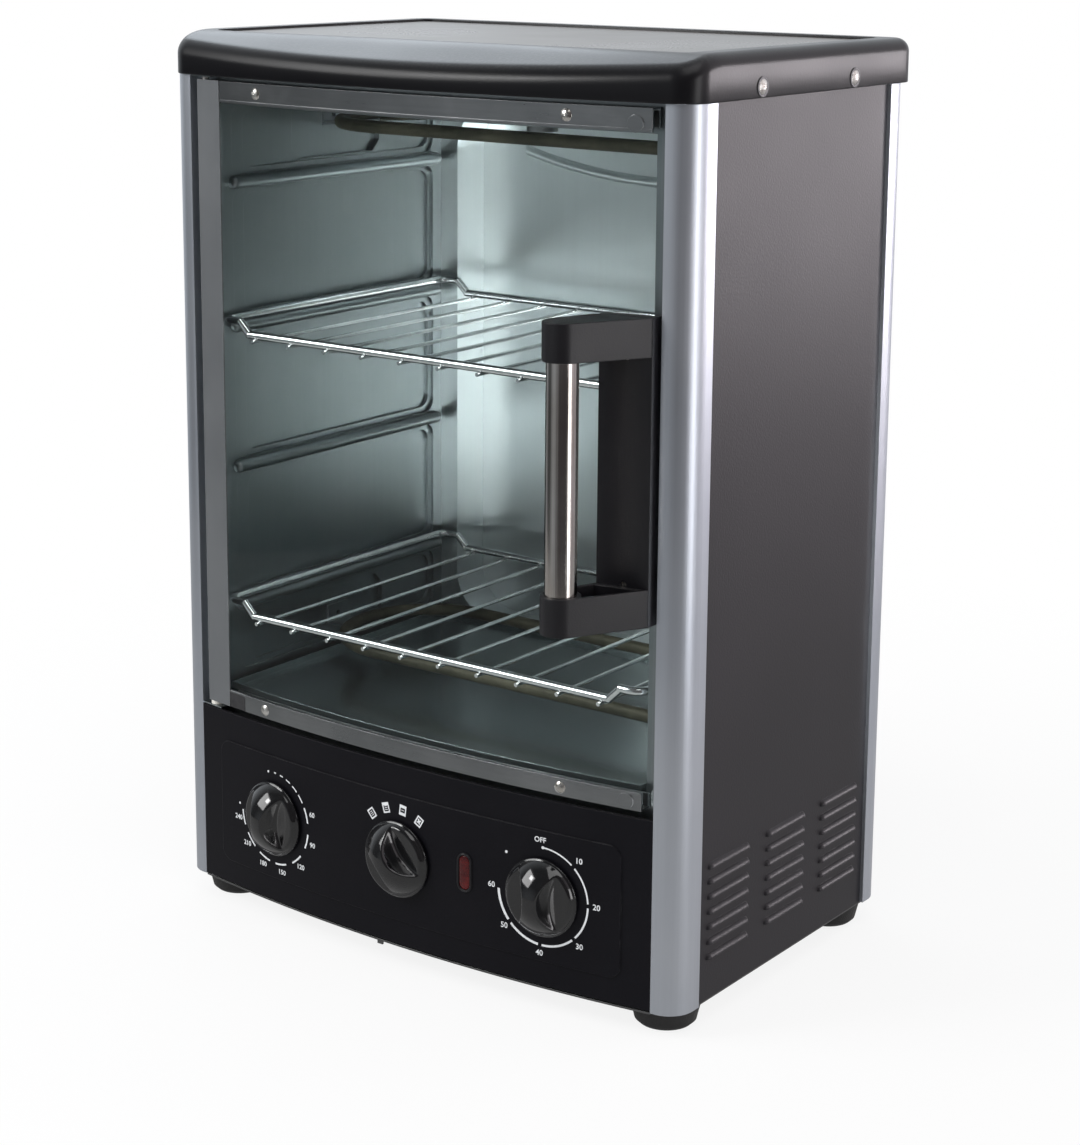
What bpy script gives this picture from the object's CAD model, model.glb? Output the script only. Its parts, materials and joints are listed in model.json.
import json
import math

import bmesh
import bpy
import numpy as np
from mathutils import Matrix, Vector

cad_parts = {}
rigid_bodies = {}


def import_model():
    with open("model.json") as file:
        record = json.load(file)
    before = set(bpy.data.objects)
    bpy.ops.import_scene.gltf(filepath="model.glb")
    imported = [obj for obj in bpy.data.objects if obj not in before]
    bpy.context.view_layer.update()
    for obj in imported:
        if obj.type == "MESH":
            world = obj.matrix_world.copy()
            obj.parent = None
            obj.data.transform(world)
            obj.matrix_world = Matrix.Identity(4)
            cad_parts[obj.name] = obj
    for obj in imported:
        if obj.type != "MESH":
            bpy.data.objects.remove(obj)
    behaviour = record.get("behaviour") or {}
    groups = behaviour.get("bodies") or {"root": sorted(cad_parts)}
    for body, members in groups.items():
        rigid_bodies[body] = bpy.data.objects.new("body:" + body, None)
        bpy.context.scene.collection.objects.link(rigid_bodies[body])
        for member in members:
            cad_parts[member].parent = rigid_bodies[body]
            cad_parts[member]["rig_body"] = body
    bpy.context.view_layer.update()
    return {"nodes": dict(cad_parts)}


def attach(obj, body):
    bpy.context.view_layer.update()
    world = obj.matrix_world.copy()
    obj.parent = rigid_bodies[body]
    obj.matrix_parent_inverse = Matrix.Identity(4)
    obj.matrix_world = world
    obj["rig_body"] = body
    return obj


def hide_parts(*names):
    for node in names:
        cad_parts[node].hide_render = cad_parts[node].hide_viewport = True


# Looks of a tall counter-top grill with a bowed glass door. Shapes are worked out in
# millimetres and turned to metres when their mesh is made; front is -Y, up is +Z.

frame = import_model()
nodes = frame["nodes"]
slotOf = {}
for nodeName, nodeObject in nodes.items():
    slotOf[nodeName] = nodeObject.material_slots[0].name.split(".")[0]
print("frame loaded,", len(nodes), "nodes")

mm = 0.001
bow = dict(radius=975.01, centreY=865.01)  # circle of the bowed front

camera = dict(place=(0.78974, -1.06626, 0.55639), yaw=0.6315, pitch=0.2043, roll=0.0075,
              focalPixels=2479.56, centreRow=420, frameHeight=1145)


# The view direction is yaw about the vertical, then pitch down; right and up are then
# turned by roll about that direction. The three of them are the camera's axes.
def makeCamera(c):
    yaw, pitch, roll = c["yaw"], c["pitch"], c["roll"]
    ahead = np.array([-math.sin(yaw) * math.cos(pitch), math.cos(yaw) * math.cos(pitch), -math.sin(pitch)])
    level = np.array([math.cos(yaw), math.sin(yaw), 0.0])
    upright = np.cross(level, ahead)
    right = math.cos(roll) * level + math.sin(roll) * upright
    up = -math.sin(roll) * level + math.cos(roll) * upright
    data = bpy.data.cameras.new("camera")
    data.sensor_width = 36
    data.lens = c["focalPixels"] * 36 / c["frameHeight"]
    data.shift_y = (c["centreRow"] - c["frameHeight"] / 2) / c["frameHeight"]
    data.clip_start, data.clip_end = 0.05, 60
    cam = bpy.data.objects.new("camera", data)
    turn = Matrix([[right[i], up[i], -ahead[i], c["place"][i]] for i in range(3)] + [[0, 0, 0, 1]])
    bpy.context.scene.collection.objects.link(cam)
    cam.matrix_world = turn
    bpy.context.scene.camera = cam


makeCamera(camera)
bpy.context.scene.view_settings.view_transform = "Standard"


# Adds a shader node; an input that is given a socket is linked, any other one is set.
def put(tree, kind, inputs=None, **props):
    node = tree.nodes.new(kind)
    for key, value in props.items():
        setattr(node, key, value)
    for key, value in (inputs or {}).items():
        if isinstance(value, bpy.types.NodeSocket):
            tree.links.new(value, node.inputs[key])
        else:
            node.inputs[key].default_value = value
    return node


def maths(tree, operation, a, b=0.0, clamp=False):
    return put(tree, "ShaderNodeMath", {0: a, 1: b}, operation=operation, use_clamp=clamp).outputs[0]


# Colour between two colours by a share from 0 to 1.
def blendColours(tree, share, first, second, how="MIX"):
    node = put(tree, "ShaderNodeMix", {0: share, 6: first, 7: second}, data_type="RGBA", blend_type=how)
    return node.outputs[2]


# The colour where the mask is 1, and a tone darker where it is 0.
def darkened(tree, colour, tone, mask):
    dark = blendColours(tree, 1.0, colour, (1 - tone,) * 3 + (1,), "MULTIPLY")
    return blendColours(tree, mask, dark, colour)


def remap(tree, value, low, high, newLow, newHigh):
    node = put(tree, "ShaderNodeMapRange", {"Value": value, "From Min": low, "From Max": high,
                                            "To Min": newLow, "To Max": newHigh})
    return node.outputs[0]


def nodeGroup(name, inputs, outputs):
    tree = bpy.data.node_groups.new(name, "ShaderNodeTree")
    for label, kind, value in inputs:
        made = tree.interface.new_socket(name=label, in_out="INPUT", socket_type="NodeSocket" + kind)
        made.default_value = value
    for label, kind in outputs:
        tree.interface.new_socket(name=label, in_out="OUTPUT", socket_type="NodeSocket" + kind)
    return tree, tree.nodes.new("NodeGroupInput").outputs, tree.nodes.new("NodeGroupOutput")


def useGroup(tree, group, inputs):
    return put(tree, "ShaderNodeGroup", inputs, node_tree=group).outputs


# Soft blotches: noise at one scale, spread over 0 to 1 between two limits.
def makeClouds():
    tree, given, out = nodeGroup("clouds", [("Vector", "Vector", (0, 0, 0)), ("Scale", "Float", 20.0),
                                            ("Detail", "Float", 3.0), ("Low", "Float", 0.35),
                                            ("High", "Float", 0.65)], [("Value", "Float")])
    noise = put(tree, "ShaderNodeTexNoise", {"Vector": given["Vector"], "Scale": given["Scale"],
                                             "Detail": given["Detail"], "Roughness": 0.55})
    spread = put(tree, "ShaderNodeMapRange", {"Value": noise.outputs[0], "From Min": given["Low"],
                                              "From Max": given["High"]})
    tree.links.new(spread.outputs[0], out.inputs["Value"])
    return tree


# Drawn or brushed metal: noise squeezed across the grain, fine lines over broad ones.
def makeGrain():
    tree, given, out = nodeGroup("grain", [("Vector", "Vector", (0, 0, 0)),
                                           ("Stretch", "Vector", (900, 900, 9))], [("Value", "Float")])
    laid = put(tree, "ShaderNodeMapping", {"Vector": given["Vector"], "Scale": given["Stretch"]})
    fine = put(tree, "ShaderNodeTexNoise", {"Vector": laid.outputs[0], "Scale": 1.0, "Detail": 3.0,
                                            "Roughness": 0.65})
    broad = put(tree, "ShaderNodeTexNoise", {"Vector": laid.outputs[0], "Scale": 0.12, "Detail": 2.0})
    both = maths(tree, "ADD", maths(tree, "MULTIPLY", fine.outputs[0], 0.6),
                 maths(tree, "MULTIPLY", broad.outputs[0], 0.4))
    spread = put(tree, "ShaderNodeMapRange", {"Value": both, "From Min": 0.34, "From Max": 0.66})
    tree.links.new(spread.outputs[0], out.inputs["Value"])
    return tree


# Zinc spangle: cells of slightly different grey, with their borders bent by noise.
def makeSpangle():
    tree, given, out = nodeGroup("spangle", [("Vector", "Vector", (0, 0, 0)), ("Scale", "Float", 120.0)],
                                 [("Value", "Float")])
    bend = put(tree, "ShaderNodeTexNoise", {"Vector": given["Vector"], "Scale": 160.0, "Detail": 2.0})
    moved = put(tree, "ShaderNodeVectorMath", {0: bend.outputs["Color"], 1: (0.006, 0.006, 0.006)},
                operation="MULTIPLY")
    there = put(tree, "ShaderNodeVectorMath", {0: given["Vector"], 1: moved.outputs[0]}, operation="ADD")
    cells = put(tree, "ShaderNodeTexVoronoi", {"Vector": there.outputs[0], "Scale": given["Scale"]})
    grey = put(tree, "ShaderNodeSeparateColor", {0: cells.outputs["Color"]})
    tree.links.new(grey.outputs[0], out.inputs["Value"])
    return tree


# Edges: where the normal averaged over a small radius leaves the true one there is an
# edge; worn in patches by noise. The averaged normal also rounds the edge's shading.
def makeEdges():
    tree, given, out = nodeGroup("edges", [("Vector", "Vector", (0, 0, 0)), ("Radius", "Float", 0.0008)],
                                 [("Mask", "Float"), ("Normal", "Vector")])
    rounded = put(tree, "ShaderNodeBevel", {"Radius": given["Radius"]}, samples=4)
    plain = put(tree, "ShaderNodeNewGeometry")
    both = put(tree, "ShaderNodeVectorMath", {0: rounded.outputs[0], 1: plain.outputs["Normal"]},
               operation="DOT_PRODUCT")
    edge = remap(tree, both.outputs["Value"], 0.995, 0.86, 0.0, 1.0)
    patches = put(tree, "ShaderNodeTexNoise", {"Vector": given["Vector"], "Scale": 130.0, "Detail": 4.0})
    worn = remap(tree, patches.outputs[0], 0.42, 0.62, 0.15, 1.0)
    tree.links.new(maths(tree, "MULTIPLY", edge, worn, True), out.inputs["Mask"])
    tree.links.new(rounded.outputs[0], out.inputs["Normal"])
    return tree


# Dust that settles on what faces up, thinned out by noise at two scales.
def makeDust():
    tree, given, out = nodeGroup("dust", [("Vector", "Vector", (0, 0, 0)), ("Amount", "Float", 0.2)],
                                 [("Mask", "Float")])
    plain = put(tree, "ShaderNodeNewGeometry")
    height = put(tree, "ShaderNodeSeparateXYZ", {0: plain.outputs["Normal"]})
    facing = remap(tree, height.outputs[2], 0.55, 1.0, 0.0, 1.0)
    wide = put(tree, "ShaderNodeTexNoise", {"Vector": given["Vector"], "Scale": 14.0, "Detail": 5.0})
    fine = put(tree, "ShaderNodeTexNoise", {"Vector": given["Vector"], "Scale": 700.0, "Detail": 2.0})
    patches = maths(tree, "MULTIPLY", remap(tree, wide.outputs[0], 0.35, 0.7, 0.3, 1.0),
                    remap(tree, fine.outputs[0], 0.45, 0.7, 0.2, 1.0))
    share = maths(tree, "MULTIPLY", facing, maths(tree, "MULTIPLY", patches, given["Amount"]), True)
    tree.links.new(share, out.inputs["Mask"])
    return tree


clouds, grain, spangle, edges, dust = makeClouds(), makeGrain(), makeSpangle(), makeEdges(), makeDust()
print("effects made")


# One finish from its values: two tones mixed by clouds, then grain, spangle, worn edges
# and dust laid over; roughness runs between two limits with the same clouds and grain.
def finish(name, tones, rough, metallic=0.0, coat=0.0, level=0.5, blotch=18.0, stretch=None,
           grainTone=0.0, grainBump=0.0, cells=None, cellTone=0.0, peel=0.0, peelScale=900.0,
           edge=None, wear=0.0, wearTone=(0.5, 0.5, 0.5), dusty=0.0, extra=None):
    material = bpy.data.materials.new(name)
    material.use_nodes = True
    tree = material.node_tree
    shader = tree.nodes["Principled BSDF"]
    place = put(tree, "ShaderNodeTexCoord").outputs["Object"]
    patch = useGroup(tree, clouds, {"Vector": place, "Scale": blotch})["Value"]
    colour = blendColours(tree, patch, (*tones[0], 1), (*tones[1], 1))
    spread = patch
    height = None
    if stretch:
        lines = useGroup(tree, grain, {"Vector": place, "Stretch": stretch})
        spread = maths(tree, "ADD", maths(tree, "MULTIPLY", patch, 0.4),
                       maths(tree, "MULTIPLY", lines["Value"], 0.6))
        colour = darkened(tree, colour, grainTone, lines["Value"])
        height = maths(tree, "MULTIPLY", lines["Value"], grainBump)
    if cells:
        cell = useGroup(tree, spangle, {"Vector": place, "Scale": cells})["Value"]
        colour = darkened(tree, colour, cellTone, cell)
        spread = maths(tree, "ADD", maths(tree, "MULTIPLY", spread, 0.7),
                       maths(tree, "MULTIPLY", cell, 0.3))
    if peel:
        skin = useGroup(tree, clouds, {"Vector": place, "Scale": peelScale, "Detail": 1.0,
                                       "Low": 0.2, "High": 0.8})["Value"]
        skin = maths(tree, "MULTIPLY", skin, peel)
        height = maths(tree, "ADD", height, skin) if height else skin
    normal = None
    if edge:
        rim = useGroup(tree, edges, {"Vector": place, "Radius": edge})
        normal = rim["Normal"]
        if wear:
            share = maths(tree, "MULTIPLY", rim["Mask"], wear)
            colour = blendColours(tree, share, colour, (*wearTone, 1))
    roughness = remap(tree, spread, 0.0, 1.0, rough[0], rough[1])
    if dusty:
        settled = useGroup(tree, dust, {"Vector": place, "Amount": dusty})["Mask"]
        colour = blendColours(tree, settled, colour, (0.55, 0.53, 0.5, 1))
        roughness = maths(tree, "ADD", roughness, maths(tree, "MULTIPLY", settled, 0.4), True)
    tree.links.new(colour, shader.inputs["Base Color"])
    tree.links.new(roughness, shader.inputs["Roughness"])
    if height:
        bump = put(tree, "ShaderNodeBump", {"Strength": 1.0, "Distance": 0.001, "Height": height})
        if normal:
            tree.links.new(normal, bump.inputs["Normal"])
        normal = bump.outputs[0]
    if normal:
        tree.links.new(normal, shader.inputs["Normal"])
    shader.inputs["Metallic"].default_value = metallic
    shader.inputs["Specular IOR Level"].default_value = level
    shader.inputs["Coat Weight"].default_value = coat
    shader.inputs["Coat Roughness"].default_value = 0.08
    for key, value in (extra or {}).items():
        shader.inputs[key].default_value = value
    return material


# Clear glass: its coat reflects a little and the camera sees through it unbent. Every other
# ray passes it, so that the cavity behind is lit. Faint smears show in the coat.
def glassFinish(name, tint, smears):
    material = finish(name, (tint, tint), smears, level=0.5, blotch=9.0,
                      extra={"Transmission Weight": 1.0, "IOR": 1.0, "Coat Weight": 0.3,
                             "Coat Roughness": 0.02})
    tree = material.node_tree
    shader = tree.nodes["Principled BSDF"]
    out = next(n for n in tree.nodes if n.type == "OUTPUT_MATERIAL")
    path = put(tree, "ShaderNodeLightPath")
    clear = put(tree, "ShaderNodeBsdfTransparent", {0: (0.97, 0.985, 0.98, 1)})
    mixed = put(tree, "ShaderNodeMixShader", {0: path.outputs["Is Camera Ray"], 1: clear.outputs[0],
                                              2: shader.outputs[0]})
    tree.links.new(mixed.outputs[0], out.inputs[0])
    return material


upright = (900.0, 900.0, 7.0)    # grain along Z
sideways = (7.0, 900.0, 900.0)   # grain along X

finishes = {
    "post_silver": finish("postSilver", ((0.46, 0.49, 0.54), (0.52, 0.545, 0.59)), (0.34, 0.42), 0.9,
                          stretch=upright, grainTone=0.05, grainBump=0.02, blotch=6, edge=0.0004, wear=0.25,
                          wearTone=(0.9, 0.9, 0.92)),
    "panel": finish("panelPaint", ((0.0036, 0.0034, 0.0055), (0.0048, 0.0045, 0.0068)), (0.40, 0.47),
                    level=0.13, peel=0.03, edge=0.0007, wear=0.4, wearTone=(0.05, 0.05, 0.055), dusty=0.04),
    "side": finish("sidePaint", ((0.0100, 0.0085, 0.0110), (0.0130, 0.0110, 0.0140)), (0.36, 0.43),
                   level=0.32, blotch=5, peel=0.035, edge=0.0003, wear=0.15, wearTone=(0.1, 0.1, 0.1),
                   dusty=0.05),
    "cap_black": finish("capPaint", ((0.0035, 0.0033, 0.0042), (0.0050, 0.0047, 0.0060)), (0.26, 0.33),
                        level=0.24, blotch=5, peel=0.02, edge=0.0008, dusty=0.06),
    "galvanised": finish("galvanisedSheet", ((0.25, 0.275, 0.285), (0.28, 0.305, 0.315)), (0.31, 0.325),
                         0.95, stretch=(260.0, 260.0, 6.0), grainTone=0.04, cells=95, cellTone=0.02,
                         edge=0.0003, wear=0.2, wearTone=(0.75, 0.78, 0.78), blotch=9),
    "rear_wall": finish("rearSheet", ((0.70, 0.74, 0.75), (0.75, 0.79, 0.80)), (0.38, 0.39), 0.97,
                        stretch=(260.0, 260.0, 6.0), grainTone=0.03, cells=95, cellTone=0.012,
                        edge=0.0003, wear=0.2, wearTone=(0.8, 0.82, 0.82), blotch=9),
    "pan": finish("basePan", ((0.10, 0.10, 0.10), (0.13, 0.13, 0.13)), (0.35, 0.45), 0.8,
                  stretch=sideways, grainTone=0.08, grainBump=0.003, edge=0.0003, wear=0.3,
                  wearTone=(0.3, 0.3, 0.3)),
    "tray": finish("traySheet", ((0.30, 0.35, 0.36), (0.36, 0.405, 0.415)), (0.21, 0.26), 0.93,
                   stretch=(6.0, 260.0, 260.0), grainTone=0.05, grainBump=0.004,
                   edge=0.0003, wear=0.2, wearTone=(0.75, 0.78, 0.78), blotch=8),
    "door_steel": finish("doorSteel", ((0.19, 0.20, 0.205), (0.24, 0.25, 0.255)), (0.26, 0.32), 0.95,
                         stretch=(8.0, 700.0, 700.0), grainTone=0.10, grainBump=0.004, cells=70,
                         cellTone=0.03, edge=0.0003, wear=0.35, wearTone=(0.85, 0.86, 0.86)),
    "stile": finish("stilePaint", ((0.185, 0.195, 0.205), (0.21, 0.22, 0.23)), (0.42, 0.5), 0.6,
                    stretch=upright, grainTone=0.04, grainBump=0.01, edge=0.0003, wear=0.5,
                    wearTone=(0.75, 0.76, 0.78)),
    "chrome_wire": finish("rackChrome", ((0.76, 0.77, 0.78), (0.84, 0.85, 0.85)), (0.08, 0.17), 1.0,
                          blotch=60, stretch=(120.0, 120.0, 120.0), grainTone=0.12, grainBump=0.02),
    "grip_chrome": finish("gripSteel", ((0.50, 0.46, 0.42), (0.60, 0.57, 0.54)), (0.09, 0.16), 1.0,
                          stretch=(1500.0, 1500.0, 5.0), grainTone=0.3, grainBump=0.03, blotch=25),
    "black_plastic": finish("handlePlastic", ((0.0055, 0.0052, 0.0070), (0.0075, 0.0070, 0.0090)),
                            (0.34, 0.42), level=0.35, peel=0.03, peelScale=1300, edge=0.0008, wear=0.08,
                            wearTone=(0.1, 0.1, 0.1), dusty=0.04),
    "knob_black": finish("knobPlastic", ((0.004, 0.004, 0.0045), (0.006, 0.006, 0.0065)), (0.07, 0.14),
                         level=0.5, coat=0.4, blotch=50, peel=0.01, peelScale=500, edge=0.0004, dusty=0.02),
    "foot_rubber": finish("footRubber", ((0.010, 0.010, 0.010), (0.017, 0.016, 0.016)), (0.55, 0.72),
                          peel=0.10, peelScale=1500, edge=0.0006, wear=0.2, wearTone=(0.06, 0.06, 0.06)),
    "door_glass": glassFinish("doorGlass", (0.90, 0.95, 0.94), (0.0, 0.035)),
    "top_glass": finish("topPlate", ((0.060, 0.048, 0.038), (0.070, 0.056, 0.045)), (0.24, 0.30), level=0.5,
                        blotch=7, peel=0.006, peelScale=300, edge=0.0005, dusty=0.06),
    "lamp_red": finish("lampRed", ((0.075, 0.004, 0.005), (0.15, 0.008, 0.008)), (0.10, 0.18), level=0.25,
                       coat=0.08, blotch=120, stretch=(40.0, 40.0, 900.0), grainTone=0.5, grainBump=0.15,
                       extra={"Transmission Weight": 0.25}),
    "heater_steel": finish("heaterOxide", ((0.060, 0.058, 0.038), (0.125, 0.118, 0.080)), (0.5, 0.68), 0.35,
                           blotch=45, stretch=(30.0, 700.0, 700.0), grainTone=0.2, grainBump=0.05,
                           peel=0.08, peelScale=900),
    "ceramic": finish("ceramicWhite", ((0.72, 0.69, 0.61), (0.80, 0.77, 0.70)), (0.42, 0.6), blotch=80,
                      peel=0.06, peelScale=1200, edge=0.0006, wear=0.2, wearTone=(0.5, 0.46, 0.4)),
    "switch_plastic": finish("switchPlastic", ((0.70, 0.68, 0.62), (0.76, 0.74, 0.69)), (0.38, 0.5),
                             blotch=40, peel=0.03, edge=0.0006, wear=0.15, wearTone=(0.85, 0.84, 0.8)),
    "brass": finish("brassPlate", ((0.62, 0.46, 0.22), (0.72, 0.55, 0.28)), (0.25, 0.4), 1.0, blotch=60,
                    stretch=sideways, grainTone=0.15, grainBump=0.02, edge=0.0005, wear=0.3,
                    wearTone=(0.9, 0.75, 0.45)),
    "fastener": finish("zincScrew", ((0.48, 0.46, 0.42), (0.66, 0.65, 0.62)), (0.18, 0.34), 1.0, blotch=240,
                       peel=0.05, peelScale=1600, edge=0.0003, wear=0.5, wearTone=(0.9, 0.9, 0.88)),
    "dark_washer": finish("darkWasher", ((0.030, 0.030, 0.033), (0.055, 0.054, 0.057)), (0.35, 0.5), 0.5,
                          blotch=150, peel=0.04, edge=0.0004, wear=0.5, wearTone=(0.3, 0.3, 0.3)),
    "lead_sleeve": finish("glassSleeve", ((0.66, 0.64, 0.58), (0.78, 0.76, 0.70)), (0.6, 0.8), blotch=90,
                          stretch=(900.0, 900.0, 900.0), grainTone=0.25, grainBump=0.1),
    "motor_zinc": finish("motorZinc", ((0.50, 0.51, 0.52), (0.62, 0.63, 0.63)), (0.25, 0.42), 0.95,
                         blotch=50, stretch=(600.0, 600.0, 20.0), grainTone=0.1, cells=110,
                         cellTone=0.12, edge=0.0005, wear=0.3, wearTone=(0.85, 0.85, 0.85)),
    "magnet": finish("magnetNickel", ((0.20, 0.20, 0.205), (0.28, 0.28, 0.285)), (0.28, 0.42), 0.9,
                     blotch=120, stretch=(500.0, 500.0, 500.0), grainTone=0.15, edge=0.0004, wear=0.4,
                     wearTone=(0.7, 0.7, 0.7)),
    "print": finish("dialPrint", ((0.72, 0.74, 0.76), (0.80, 0.82, 0.84)), (0.45, 0.6), blotch=400,
                    peel=0.05, peelScale=2500),
}
finishes["black_enamel"] = finishes["side"]
special = {"control_panel": "panel", "inner_rear_wall": "rear_wall", "base_pan": "pan",
           "crumb_tray": "tray", "inner_floor": "tray", "door_stile": "stile"}


def finishFor(node):
    return finishes[special.get(node, slotOf[node])]


for nodeName, nodeObject in nodes.items():
    nodeObject.data.materials.clear()
    nodeObject.data.materials.append(finishFor(nodeName))
print("finishes made,", len(finishes))


# Rows and columns of a grid of points become quads that join each point to the next one
# along both; a wrapped axis joins its last line to its first.
def gridFaces(rows, cols, wrapRows=False, wrapCols=False, start=0):
    r = np.arange(rows if wrapRows else rows - 1)[:, None]
    c = np.arange(cols if wrapCols else cols - 1)[None, :]
    r2, c2 = (r + 1) % rows, (c + 1) % cols
    quads = np.stack([r * cols + c, r * cols + c2, r2 * cols + c2, r2 * cols + c], -1)
    return quads.reshape(-1, 4) + start


# Points in millimetres and their faces become one closed piece: doubles are merged, the
# faces turned outwards, and edges sharper than the given angle kept sharp.
def makePiece(name, points, faces, body, material, replaced=(), sharp=40):
    mesh = bpy.data.meshes.new(name)
    mesh.from_pydata((np.asarray(points).reshape(-1, 3) * mm).tolist(), [], [list(f) for f in faces])
    work = bmesh.new()
    work.from_mesh(mesh)
    bmesh.ops.remove_doubles(work, verts=work.verts, dist=2e-6)
    bmesh.ops.recalc_face_normals(work, faces=work.faces)
    work.to_mesh(mesh)
    work.free()
    return dress(bpy.data.objects.new(name, mesh), body, material, replaced, sharp)


def dress(piece, body, material, replaced=(), sharp=40):
    mesh = piece.data
    mesh.polygons.foreach_set("use_smooth", np.ones(len(mesh.polygons), bool))
    mesh.set_sharp_from_angle(angle=math.radians(sharp))
    mesh.materials.clear()
    mesh.materials.append(material)
    if piece.name not in bpy.context.scene.collection.objects:
        bpy.context.scene.collection.objects.link(piece)
    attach(piece, body)
    if replaced:
        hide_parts(*replaced)
    return piece


# Points at distance u along the bow from x0, height v and w out of it.
def onBow(u, v, w, x0=0.0):
    turn = math.asin(x0 / bow["radius"]) + np.asarray(u) / bow["radius"]
    reach = bow["radius"] + np.asarray(w)
    return np.stack(np.broadcast_arrays(reach * np.sin(turn), bow["centreY"] - reach * np.cos(turn),
                                        np.asarray(v, float)), -1)


# A copy of a CAD node with its triangles merged into flat faces, and its edges rounded by
# a bevel of the given width.
def softCopy(node, name, width, segments=3, limit=40):
    mesh = nodes[node].data.copy()
    mesh.name = name
    work = bmesh.new()
    work.from_mesh(mesh)
    bmesh.ops.remove_doubles(work, verts=work.verts, dist=4e-6)
    bmesh.ops.dissolve_limit(work, angle_limit=math.radians(0.6), verts=work.verts, edges=work.edges)
    work.to_mesh(mesh)
    work.free()
    for attribute in [a.name for a in mesh.attributes if a.name == "custom_normal"]:
        mesh.attributes.remove(mesh.attributes[attribute])
    piece = bpy.data.objects.new(name, mesh)
    body = nodes[node]["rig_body"]
    dress(piece, body, finishFor(node), (node,), limit)
    bevel = piece.modifiers.new("rounded", "BEVEL")
    bevel.width = width * mm
    bevel.segments = segments
    bevel.limit_method = "ANGLE"
    bevel.angle_limit = math.radians(limit)
    bevel.use_clamp_overlap = True
    bevel.harden_normals = True
    return piece


for nodeName, pieceName, width in (("handle_upper_arm", "handleUpperArm", 1.0),
                                   ("handle_lower_arm", "handleLowerArm", 1.0),
                                   ("handle_base", "handleBase", 0.9),
                                   ("door_corner_plate", "cornerPlate", 0.25),
                                   ("top_plate", "topPlate", 0.5)):
    softCopy(nodeName, pieceName, width)
print("handle and plate rounded")


cap = dict(halfWidth=168.5, rear=120.0, low=467.0, top=490.0, edge=7.0, wall=1.8, over=2.0, corner=15.5,
           slope=0.37, slopeFrom=-81.0, slopeBlend=3.0, recess=3.0, rearCorner=14.5,
           rest=0.02, plate=(153.5, -78.0, 105.0, 5.0))  # plate: half width, front, rear, corner radius


# Closed plan of the cap and its outward direction at each point: the bow between two
# corner arcs that touch it and the sides, then the sides, rear corners and rear edge.
def capOutline(c, count=60):
    reach = bow["radius"] + c["over"]
    r = c["corner"]
    cx = c["halfWidth"] - r
    cy = bow["centreY"] - math.sqrt((reach - r) ** 2 - cx ** 2)
    lean = math.asin(cx / (reach - r))
    turn = np.linspace(-lean, lean, 3 * count)
    front = np.stack([reach * np.sin(turn), bow["centreY"] - reach * np.cos(turn)], -1)
    frontOut = np.stack([np.sin(turn), -np.cos(turn)], -1)

    def arc(x, y, radius, a, b, n):
        t = np.linspace(a, b, n)[1:]
        out = np.stack([np.cos(t), np.sin(t)], -1)
        return np.array([x, y]) + radius * out, out

    def side(x, y1, y2, out, n):
        t = np.linspace(0, 1, n)[1:]
        return np.stack([np.full_like(t, x), y1 + (y2 - y1) * t], -1), np.tile(out, (len(t), 1))

    q = c["rearCorner"]
    runs = [(front, frontOut), arc(cx, cy, r, lean - math.pi / 2, 0, count),
            side(c["halfWidth"], cy, c["rear"] - q, (1.0, 0.0), count),
            arc(c["halfWidth"] - q, c["rear"] - q, q, 0, math.pi / 2, count // 2)]
    t = np.linspace(0, 1, count)[1:]
    rear = np.stack([(c["halfWidth"] - q) * (1 - 2 * t), np.full_like(t, c["rear"])], -1)
    runs.append((rear, np.tile((0.0, 1.0), (len(t), 1))))
    runs.append(arc(q - c["halfWidth"], c["rear"] - q, q, math.pi / 2, math.pi, count // 2))
    runs.append(side(-c["halfWidth"], c["rear"] - q, cy, (-1.0, 0.0), count))
    runs.append(arc(-cx, cy, r, math.pi, 1.5 * math.pi - lean, count))
    points = np.concatenate([a for a, b in runs])[:-1]
    outs = np.concatenate([b for a, b in runs])[:-1]
    return points, outs


# Height of the cap's top: level, then falling towards the front at the slope. The crease is
# softened as blend * log(1 + exp(distance / blend)), which is the distance itself far down.
def capTop(c, y):
    x = (c["slopeFrom"] - y) / c["slopeBlend"]
    fall = c["slopeBlend"] * np.where(x > 20, x, np.log1p(np.exp(np.minimum(x, 20))))
    return c["top"] - c["slope"] * np.maximum(fall - c["rest"], 0)


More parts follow.
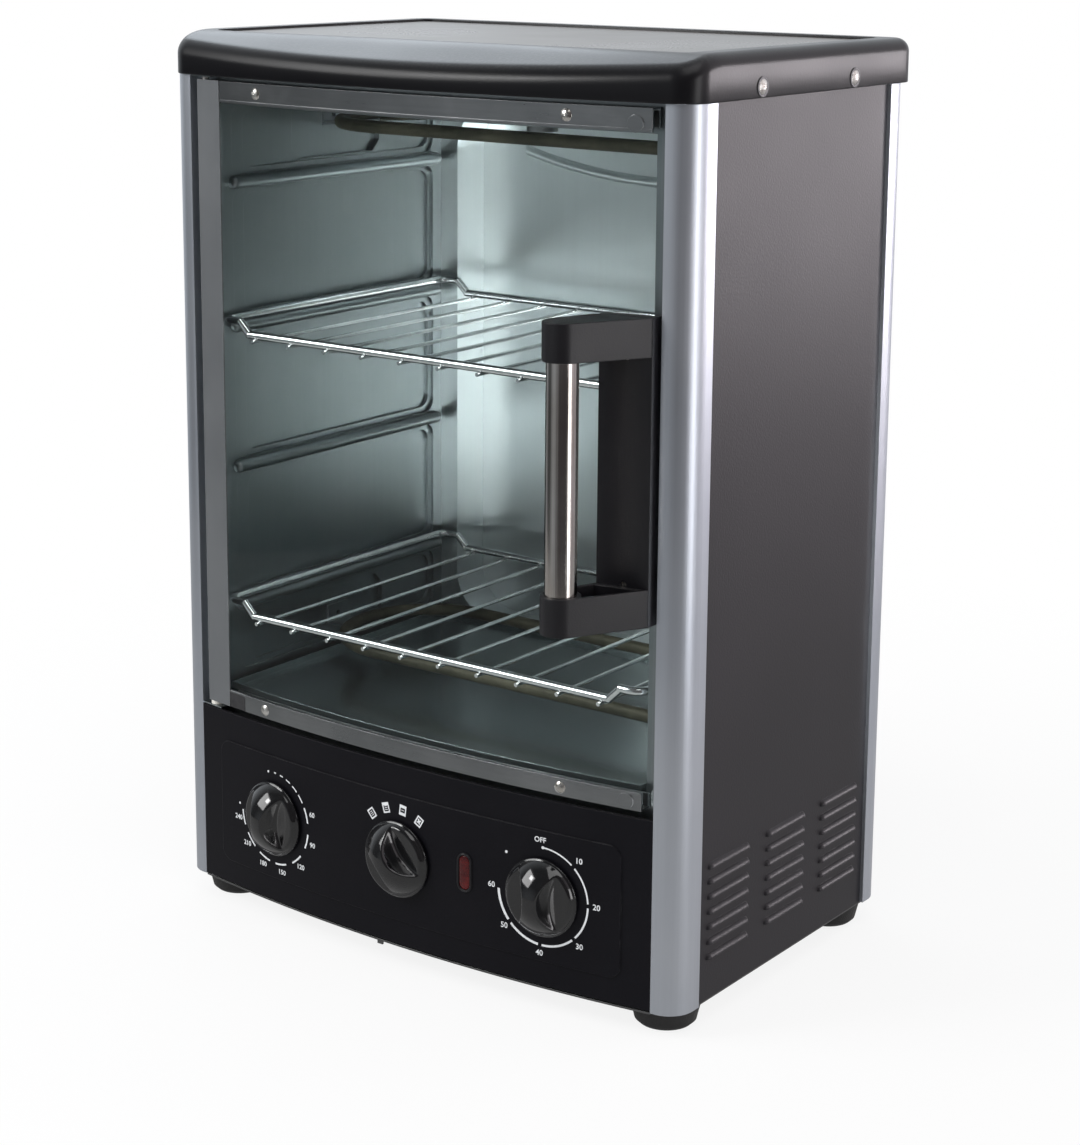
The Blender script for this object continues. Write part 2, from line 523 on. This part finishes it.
# Rows from the middle of the inner roof down the inner wall, under the rim, up the outer
# wall, round the rounded edge, over the top, down into the recess and to its middle.
def makeCap(c):
    outline, outs = capOutline(c)
    halfX, y1, y2, pr = c["plate"]
    middle = np.array([0.0, (y1 + y2) / 2])
    # the recess edge is met along the same direction from the middle as the outline
    inner = np.clip(outline, [-halfX, y1], [halfX, y2])
    box = np.array([halfX - pr, (y2 - y1) / 2 - pr])
    away = inner - middle
    past = np.maximum(np.abs(away) - box, 0)
    length = np.maximum(np.hypot(*past.T), 1e-6)[:, None]
    rounded = np.sign(away) * (box + past / length * np.minimum(length, pr))
    inner = middle + np.where(past > 0, rounded, away)

    def row(inset, drop, floor=None):
        p = outline - inset * outs
        z = capTop(c, p[:, 1]) - drop if floor is None else np.full(len(p), floor)
        return np.column_stack([p, z])

    def flatRow(plan, z):
        return np.column_stack([plan, np.broadcast_to(z, len(plan))])

    e, w = c["edge"], c["wall"]
    rows = [flatRow(np.tile(middle, (len(outline), 1)), c["top"] - c["recess"] - w)]
    rows.append(flatRow(inner, np.minimum(capTop(c, inner[:, 1]) - w, c["top"] - c["recess"] - w)))
    for a in np.linspace(90, 0, 7):
        t = math.radians(a)
        r = row(e - (e - w) * math.cos(t), w + (e - w) * (1 - math.sin(t)))
        r[:, 2] = np.minimum(r[:, 2], c["top"] - c["recess"] - w)
        rows.append(r)
    for inset, rise in ((w, 0), (0.5, 0), (0.15, 0.15), (0, 0.5)):
        rows.append(row(inset, 0, c["low"] + rise))
    for a in np.linspace(0, 90, 12):
        t = math.radians(a)
        rows.append(row(e - e * math.cos(t), e * (1 - math.sin(t))))
    edgeRow = rows[-1]
    for t in np.linspace(0, 1, 15)[1:]:
        plan = edgeRow[:, :2] * (1 - t) + inner * t
        rows.append(flatRow(plan, capTop(c, plan[:, 1])))
    top = rows[-1][:, 2]
    for inset, down in ((0.15, 0.05), (0.3, 0.3), (0.3, c["recess"])):
        aim = middle - inner
        plan = inner + aim / np.hypot(*aim.T)[:, None] * inset
        rows.append(flatRow(plan, top - down if down < c["recess"] else c["top"] - c["recess"]))
    rows.append(flatRow(np.tile(middle, (len(outline), 1)), c["top"] - c["recess"]))
    points = np.stack(rows)
    return makePiece("capShell", points, gridFaces(points.shape[0], points.shape[1], wrapCols=True),
                     nodes["top_cap"]["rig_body"], finishes["cap_black"], ("top_cap",), 50)


makeCap(cap)
print("cap made")


knob = dict(radius=21.0, height=14.5, domePower=0.8, grip=6.6, scoop=31.0, steep=2.6, floor=4.3, blend=2.4,
            crease=1.1, edge=((0.35, 0.12), (0.08, 0.4), (0.0, 0.8)), foot=0.4, out=1.5, dialX=91.5,
            dialZ=62.7, functionTurn=-40.0)  # edge: inset and drop of the rounded rim's points


# Smaller of two heights, with the corner between them rounded over a width k.
def softMin(a, b, k):
    h = np.clip(0.5 + 0.5 * (b - a) / k, 0, 1)
    return b * (1 - h) + a * h - k * h * (1 - h)


# Height over a disc: height * (1 - (r / radius)^2)^power, cut on both sides of the grip by
# scoops whose walls fall to a floor.
def knobHeight(k, x, y):
    r = np.hypot(x, y)
    dome = k["height"] * np.clip(1 - (r / k["radius"]) ** 2, 0, 1) ** k["domePower"]
    into = k["scoop"] - np.hypot(np.abs(x) - k["scoop"] - k["grip"] / 2, y)
    wall = k["height"] + 0.5 - k["steep"] * np.maximum(into, 0) ** 1.15
    scooped = -softMin(-wall, -np.full_like(x, k["floor"]), k["blend"])
    return softMin(dome, scooped, k["crease"])


# A level ring of points, x = r cos(phi) and y = r sin(phi), as one row of a grid.
def ringAt(phi, radius, height):
    return np.stack([radius * np.cos(phi), radius * np.sin(phi), np.full_like(phi, height)], -1)[None]


# Polar grid of that height, then a rounded rim, the side and the flat underside.
def makeKnob(name, node, x0, turn, k):
    rings = np.linspace(0, 1, 54)[1:] ** 0.9
    phi = np.linspace(0, 2 * np.pi, 180, endpoint=False)
    outer = k["radius"]
    level = outer - k["edge"][-1][1]
    r = rings[:, None] * level
    x, y = r * np.cos(phi), r * np.sin(phi)
    z = knobHeight(k, x, y)
    rows = [np.stack([x, y, z], -1)]
    rim = knobHeight(k, np.array([level]), np.array([0.0]))[0]
    rows += [ringAt(phi, outer - inset, rim - drop) for inset, drop in k["edge"]]
    rows += [ringAt(phi, radius, height) for radius, height in
             ((outer, k["foot"]), (outer - 0.3, 0.0), (outer * 0.5, 0.0), (0.0, 0.0))]
    top = ringAt(phi, 0.0, knobHeight(k, np.array([0.0]), np.array([0.0]))[0])
    points = np.concatenate([top] + rows)
    t = math.radians(-turn)
    u = points[..., 0] * math.cos(t) - points[..., 1] * math.sin(t)
    v = points[..., 0] * math.sin(t) + points[..., 1] * math.cos(t)
    lean = math.asin(x0 / bow["radius"])
    side = np.array([math.cos(lean), math.sin(lean), 0])
    ahead = np.array([math.sin(lean), -math.cos(lean), 0])
    centre = np.array([0, bow["centreY"], k["dialZ"]]) + ahead * (bow["radius"] + k["out"])
    placed = centre + u[..., None] * side + v[..., None] * np.array([0, 0, 1.0]) + points[..., 2:] * ahead
    return makePiece(name, placed, gridFaces(placed.shape[0], placed.shape[1], wrapCols=True),
                     nodes[node]["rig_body"], finishes["knob_black"], (node,), 60)


makeKnob("temperatureKnob", "temperature_knob", -knob["dialX"], 0, knob)
makeKnob("functionKnob", "function_knob", 0, knob["functionTurn"], knob)
makeKnob("timerKnob", "timer_knob", knob["dialX"], 0, knob)
print("knobs made")


prints = dict(low=0.78, high=0.90, digit=4.3, bold=0.05, ring=26.4, numbers=30.9, signs=27.6,
              temperature=((60, 73), (90, 106), (120, 139), (150, 170), (180, 199), (210, 228), (240, 257)),
              ticks=((2, 1.6), (13, 2.6), (25, 3.6), (38, 4.6), (52, 5.4)), dash=9.5,
              timer=((10, 42), (20, 89), (30, 136), (40, 183), (50, 228), (60, 270)))


# A band that follows a centre line in the panel's plane: four corners at each point, half
# a width to each side and low or high above the bow, with both ends closed.
def ribbon(line, width, x0, p):
    line = np.asarray(line, float)
    width = np.broadcast_to(width, len(line))
    along = np.gradient(line, axis=0)
    along /= np.hypot(*along.T)[:, None]
    across = np.stack([-along[:, 1], along[:, 0]], -1) * width[:, None] / 2
    corners = [(line - across, p["low"]), (line + across, p["low"]), (line + across, p["high"]),
               (line - across, p["high"])]
    points = np.stack([onBow(c[:, 0], c[:, 1] + knob["dialZ"], w, x0) for c, w in corners], 1)
    n = len(line)
    faces = gridFaces(n, 4, wrapCols=True).tolist() + [list(range(4)), list(range(4 * n - 4, 4 * n))]
    return points.reshape(-1, 3), faces


def arcLine(radius, start, end, steps=24):
    t = np.radians(np.linspace(start, end, steps))
    return np.stack([radius * np.sin(t), radius * np.cos(t)], -1)


# A dot is a short ribbon whose width follows a circle.
def dotShape(radius, angle, size, x0, p):
    t = np.linspace(-0.999, 0.999, 15)
    a = math.radians(angle)
    centre = np.array([radius * math.sin(a), radius * math.cos(a)])
    line = centre + np.stack([t * size / 2, np.zeros_like(t)], -1)
    return ribbon(line, size * np.sqrt(1 - t ** 2), x0, p)


# Figures: the text's flat outline is filled and given a thickness, made a mesh, and its
# points are then laid on the bow around the dial's centre.
def figures(words, radius, angle, size, x0, p):
    curve = bpy.data.curves.new("figures", "FONT")
    curve.body = words
    curve.size = size
    curve.align_x, curve.align_y = "CENTER", "CENTER"
    curve.extrude = (p["high"] - p["low"]) / 2
    curve.offset = p["bold"]
    curve.resolution_u = 3
    holder = bpy.data.objects.new("figures", curve)
    bpy.context.scene.collection.objects.link(holder)
    flat = bpy.data.meshes.new_from_object(holder.evaluated_get(bpy.context.evaluated_depsgraph_get()))
    bpy.data.objects.remove(holder)
    bpy.data.curves.remove(curve)
    co = np.zeros(len(flat.vertices) * 3)
    flat.vertices.foreach_get("co", co)
    co = co.reshape(-1, 3)
    faces = [list(f.vertices) for f in flat.polygons]
    bpy.data.meshes.remove(flat)
    a = math.radians(angle)
    middle = (p["low"] + p["high"]) / 2
    return onBow(co[:, 0] + radius * math.sin(a), co[:, 1] + radius * math.cos(a) + knob["dialZ"],
                 co[:, 2] + middle, x0), faces


def joinShapes(shapes):
    points, faces, start = [], [], 0
    for p, f in shapes:
        points.append(p)
        faces += [[i + start for i in face] for face in f]
        start += len(p)
    return np.concatenate(points), faces


# Straight bands in a sign's own frame, turned with the sign to stand radially at its angle.
def signShapes(bars, radius, angle, x0, p):
    a = math.radians(angle)
    up, side = np.array([math.sin(a), math.cos(a)]), np.array([math.cos(a), -math.sin(a)])
    made = []
    for (x1, y1), (x2, y2), width in bars:
        line = np.stack([radius * up + x1 * side + y1 * up, radius * up + x2 * side + y2 * up])
        made.append(ribbon(line, width, x0, p))
    return made


def makePrints(p):
    left, right = -knob["dialX"], knob["dialX"]
    ring = p["ring"]
    heat = [dotShape(ring, -10, 1.3, left, p), dotShape(ring + 2.6, 273, 1.3, left, p)]
    heat += [ribbon(arcLine(ring, a - h, a + h, 8), 0.55 + 0.03 * h, left, p) for a, h in p["ticks"]]
    heat += [ribbon(arcLine(ring, a - p["dash"], a + p["dash"]), 0.95, left, p)
             for f, a in p["temperature"]]
    heat += [figures(str(f), p["numbers"], a, p["digit"] * 0.92, left, p) for f, a in p["temperature"]]
    clock = [dotShape(ring, 0, 1.6, right, p), dotShape(ring + 3, -48, 1.5, right, p),
             figures("OFF", p["numbers"] - 0.6, -3, p["digit"] * 0.92, right, p)]
    starts = [0] + [a for f, a in p["timer"]]
    for i, (a, b) in enumerate(zip(starts[:-1], starts[1:])):
        clock.append(ribbon(arcLine(ring, a + (0 if i == 0 else 2.4), b - 2.4), 0.75 + 0.13 * i, right, p))
    clock += [figures(str(f), p["numbers"] + (0.4 if a < 150 else 0), a, p["digit"], right, p)
              for f, a in p["timer"]]
    w, h = 1.9, 2.4  # half sizes of a sign
    box = [((-w, -h), (-w, h), 0.7), ((w, -h), (w, h), 0.7)]
    ends = [((-w - 0.35, -h), (w + 0.35, -h), 0.8), ((-w - 0.35, h), (w + 0.35, h), 0.8)]
    thickTop = [((-w - 0.35, h - 0.3), (w + 0.35, h - 0.3), 1.6)]
    thickLow = [((-w - 0.35, -h + 0.3), (w + 0.35, -h + 0.3), 1.6)]
    dashes = [((-0.9, y), (0.9, y), 0.35) for y in (-1.0, 0.0, 1.0)]
    waves = [((-1.0, -1.2), (1.0, 1.2), 0.8), ((-1.0, 1.2), (1.0, -1.2), 0.8)]
    signs = []
    for angle, bars in ((-40, box + ends + dashes), (-17, box + ends[:1] + thickTop + dashes),
                        (7, box + thickTop + thickLow + dashes[1:2]), (31, box + ends + waves)):
        signs += signShapes(bars, p["signs"], angle, 0, p)
    for name, shapes in (("temperaturePrint", heat), ("timerPrint", clock), ("functionPrint", signs)):
        points, faces = joinShapes(shapes)
        makePiece(name, points, faces, "frame", finishes["print"])


makePrints(prints)
print("prints made")


door = dict(x1=-128.7, x2=145.4, bead=0.9, behind=1.5, topZ=454.1, lowZ=127.0)


# A circle carried along the bow at one height, ends closed.
def bowBead(name, z, d):
    turn = np.linspace(math.asin(d["x1"] / bow["radius"]), math.asin(d["x2"] / bow["radius"]), 120)
    phi = np.linspace(0, 2 * np.pi, 16, endpoint=False)
    reach = bow["radius"] - d["behind"] + d["bead"] * np.cos(phi)[None, :]
    points = np.stack([reach * np.sin(turn)[:, None], bow["centreY"] - reach * np.cos(turn)[:, None],
                       np.broadcast_to(z + d["bead"] * np.sin(phi), (len(turn), len(phi)))], -1)
    n = len(turn)
    faces = gridFaces(n, 16, wrapCols=True).tolist() + [list(range(16)), list(range(16 * n - 16, 16 * n))]
    return makePiece(name, points, faces, nodes["door_top_rail"]["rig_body"],
                     finishes["door_steel"], sharp=50)


bowBead("topRailBead", door["topZ"], door)
bowBead("bottomRailBead", door["lowZ"], door)

lamp = dict(x=44.0, z=65.2, width=6.8, height=18.8, bezel=1.35, rise=1.2, out=0.78, dome=0.9)


# Upright capsule outline at a distance d outside its core line.
def capsuleLine(half, d, steps=24):
    t = np.linspace(0, math.pi, steps)
    upper = np.stack([d * np.cos(t), half + d * np.sin(t)], -1)
    return np.concatenate([upper, -upper])


# A rounded ridge round the lens, and the lens itself as a low dome in it.
def makeLamp(c):
    half = (c["height"] - c["width"]) / 2
    inner = c["width"] / 2
    rows = []
    for a in np.linspace(-20, 200, 14):
        t = math.radians(a)
        d = inner + c["bezel"] / 2 + c["bezel"] / 2 * math.cos(t)
        line = capsuleLine(half, d)
        rows.append(onBow(line[:, 0], line[:, 1] + c["z"], c["out"] + c["rise"] * math.sin(t), c["x"]))
    points = np.stack(rows)
    makePiece("lampBezel", points, gridFaces(len(points), points.shape[1], True, True), "frame",
              finishes["black_plastic"], sharp=60)
    rows = []
    for share in (1.0, 1.0, 0.98, 0.9, 0.75, 0.55, 0.3, 0.0):
        line = capsuleLine(half * (0.4 + 0.6 * share), (inner - 0.15) * share)
        lift = -1.5 if not rows else c["out"] + 0.3 + c["dome"] * math.sqrt(1 - share ** 2)
        rows.append(onBow(line[:, 0], line[:, 1] + c["z"], lift, c["x"]))
    points = np.stack(rows)
    n = points.shape[1]
    last = (len(points) - 1) * n
    faces = gridFaces(len(points), n, wrapCols=True).tolist()
    faces += [list(range(n)), list(range(last, last + n))]
    makePiece("lampDome", points, faces, "frame", finishes["lamp_red"], ("lamp_lens",), 60)


makeLamp(lamp)
print("beads and lamp made")


stage = dict(floorRadius=0.95, floorZ=-0.0004, ambient=0.6, floorWhite=0.86, fadeFrom=0.30, fadeTo=0.80,
             front=0.13, below=0.42, window=(-0.35, -0.93, -0.05), windowRim=0.84, windowCore=0.98,
             windowGlow=0.3, coolSide=(0.90, 0.95, 1.0), warmSide=(1.0, 0.93, 0.98))


# True for rays that should meet the plain white background.
def seesBackground(tree):
    path = put(tree, "ShaderNodeLightPath").outputs
    seen = maths(tree, "MAXIMUM", path["Is Camera Ray"], path["Is Glossy Ray"])
    return maths(tree, "MAXIMUM", seen, path["Is Transmission Ray"]), path


def makeFloor(s):
    turn = np.linspace(0, 2 * np.pi, 96, endpoint=False)
    rim = np.stack([s["floorRadius"] * np.cos(turn), s["floorRadius"] * np.sin(turn),
                    np.full_like(turn, s["floorZ"])], -1)
    mesh = bpy.data.meshes.new("floor")
    mesh.from_pydata(rim.tolist(), [], [list(range(len(rim)))])
    floor = bpy.data.objects.new("floor", mesh)
    bpy.context.scene.collection.objects.link(floor)
    material = bpy.data.materials.new("floorPaper")
    material.use_nodes = True
    tree = material.node_tree
    tree.nodes.remove(tree.nodes["Principled BSDF"])
    seen, path = seesBackground(tree)
    place = put(tree, "ShaderNodeTexCoord").outputs["Object"]
    away = put(tree, "ShaderNodeVectorMath", {0: place}, operation="LENGTH").outputs["Value"]
    far = remap(tree, away, s["fadeFrom"], s["fadeTo"], s["floorWhite"], 1.0)
    paper = put(tree, "ShaderNodeBsdfDiffuse", {0: (0.86, 0.86, 0.865, 1)})
    dimmed = maths(tree, "MULTIPLY", path["Is Glossy Ray"], 1 - s["below"])
    white = put(tree, "ShaderNodeEmission", {0: (1, 1, 1, 1), 1: maths(tree, "SUBTRACT", 1.0, dimmed)})
    share = maths(tree, "MULTIPLY", seen, far)
    mixed = put(tree, "ShaderNodeMixShader", {0: share, 1: paper.outputs[0], 2: white.outputs[0]})
    out = next(n for n in tree.nodes if n.type == "OUTPUT_MATERIAL")
    tree.links.new(mixed.outputs[0], out.inputs[0])
    mesh.materials.append(material)


# White for what the camera sees. Reflections find white behind the object, a dim studio
# in front with one soft window, and less light below the horizon; the rest is ambient.
def makeWorld(s):
    world = bpy.data.worlds.new("studio")
    bpy.context.scene.world = world
    world.use_nodes = True
    tree = world.node_tree
    background = tree.nodes["Background"]
    seen, path = seesBackground(tree)
    direction = put(tree, "ShaderNodeTexCoord").outputs["Generated"]
    way = put(tree, "ShaderNodeSeparateXYZ", {0: direction}).outputs
    behind = remap(tree, way[1], -0.35, 0.15, s["front"], 1.0)
    toWindow = put(tree, "ShaderNodeVectorMath", {0: direction, 1: s["window"]}, operation="DOT_PRODUCT")
    window = remap(tree, toWindow.outputs["Value"], s["windowRim"], s["windowCore"], 0.0, s["windowGlow"])
    level = remap(tree, way[2], -0.25, 0.02, s["below"], 1.0)
    studio = maths(tree, "ADD", maths(tree, "MULTIPLY", behind, level), window)
    glossy = path["Is Glossy Ray"]
    plain = maths(tree, "SUBTRACT", seen, glossy)
    strength = maths(tree, "ADD", plain, maths(tree, "MULTIPLY", glossy, studio))
    other = maths(tree, "MULTIPLY", maths(tree, "SUBTRACT", 1.0, seen), s["ambient"])
    tree.links.new(maths(tree, "ADD", strength, other), background.inputs[1])
    rightward = remap(tree, way[0], -0.2, 0.5, 0.0, 1.0)
    tint = blendColours(tree, rightward, (*s["coolSide"], 1), (*s["warmSide"], 1))
    tree.links.new(blendColours(tree, glossy, (1, 1, 1, 1), tint), background.inputs[0])


lamps = (
    dict(name="keySoftbox", place=(-1.25, -1.35, 1.35), aim=(0, 0, 0.2), size=(1.2, 1.0), watts=20,
         tint=(1, 1, 1)),
    dict(name="glint", place=(-0.75, -1.15, 1.25), aim=(0, -0.1, 0.1), size=(0.32, 0.24), watts=3,
         tint=(1, 1, 1)),
    dict(name="overhead", place=(-1.25, 0.95, 1.40), aim=(0, 0, 0.45), size=(0.9, 0.7), watts=5.5,
         tint=(0.84, 0.92, 1)),
    dict(name="rightFill", place=(1.5, 1.9, 0.34), aim=(0.17, 0, 0.3), size=(0.9, 0.5), watts=15,
         tint=(1, 0.93, 0.97)),
    dict(name="sideSoftbox", place=(1.75, -0.15, 0.08), aim=(0.17, -0.12, 0.25), size=(0.5, 1.2), watts=8,
         tint=(1, 0.99, 1)),
    dict(name="topFill", place=(0.6, -0.4, 1.7), aim=(0.1, 0, 0.3), size=(1.0, 1.0), watts=6,
         tint=(1, 1, 1)),
)
card = dict(middle=(0.55, -1.0), turn=-53.5, length=1.2, width=0.42, height=0.004, core=0.2, glow=14.0)


# A soft bright patch lying in front that only reflections of reflections see: it lights the rear wall.
# Its glow falls from the core to the rim with the distance in the card's own ellipse.
def makeCard(c):
    turn = math.radians(c["turn"])
    along, across = np.array([math.cos(turn), math.sin(turn)]), np.array([-math.sin(turn), math.cos(turn)])
    angles = np.linspace(0, 2 * np.pi, 64, endpoint=False)
    rim = np.array(c["middle"]) + c["length"] * np.cos(angles)[:, None] * along
    rim = rim + c["width"] * np.sin(angles)[:, None] * across
    mesh = bpy.data.meshes.new("frontCard")
    mesh.from_pydata([(x, y, c["height"]) for x, y in rim], [], [list(range(len(rim)))])
    sheet = bpy.data.objects.new("frontCard", mesh)
    bpy.context.scene.collection.objects.link(sheet)
    material = bpy.data.materials.new("cardGlow")
    material.use_nodes = True
    tree = material.node_tree
    tree.nodes.remove(tree.nodes["Principled BSDF"])
    place = put(tree, "ShaderNodeTexCoord").outputs["Object"]
    fromMiddle = put(tree, "ShaderNodeVectorMath", {0: place, 1: (*c["middle"], c["height"])},
                      operation="SUBTRACT").outputs[0]
    squares = 0.0
    for axis, half in ((along, c["length"]), (across, c["width"])):
        away = put(tree, "ShaderNodeVectorMath", {0: fromMiddle, 1: (*(axis / half), 0)},
                   operation="DOT_PRODUCT").outputs["Value"]
        squares = maths(tree, "ADD", maths(tree, "MULTIPLY", away, away), squares)
    share = remap(tree, maths(tree, "SQRT", squares), c["core"], 1.0, 1.0, 0.0)
    bounces = put(tree, "ShaderNodeLightPath").outputs["Glossy Depth"]
    share = maths(tree, "MULTIPLY", share, maths(tree, "GREATER_THAN", bounces, 1.5))
    glow = put(tree, "ShaderNodeEmission", {0: (1, 1, 1, 1), 1: c["glow"]})
    clear = put(tree, "ShaderNodeBsdfTransparent")
    mixed = put(tree, "ShaderNodeMixShader", {0: share, 1: clear.outputs[0], 2: glow.outputs[0]})
    out = next(n for n in tree.nodes if n.type == "OUTPUT_MATERIAL")
    tree.links.new(mixed.outputs[0], out.inputs[0])
    mesh.materials.append(material)
    sheet.visible_camera = sheet.visible_diffuse = sheet.visible_shadow = False


def makeLamps():
    for l in lamps:
        data = bpy.data.lights.new(l["name"], "AREA")
        data.shape = "RECTANGLE"
        data.size, data.size_y = l["size"]
        data.energy = l["watts"]
        data.color = l["tint"]
        light = bpy.data.objects.new(l["name"], data)
        bpy.context.scene.collection.objects.link(light)
        away = Vector(l["place"]) - Vector(l["aim"])
        turn = away.to_track_quat("Z", "Y").to_matrix().to_4x4()
        light.matrix_world = Matrix.Translation(l["place"]) @ turn
        light.visible_camera = False


makeFloor(stage)
makeWorld(stage)
makeLamps()
makeCard(card)
print("stage made")
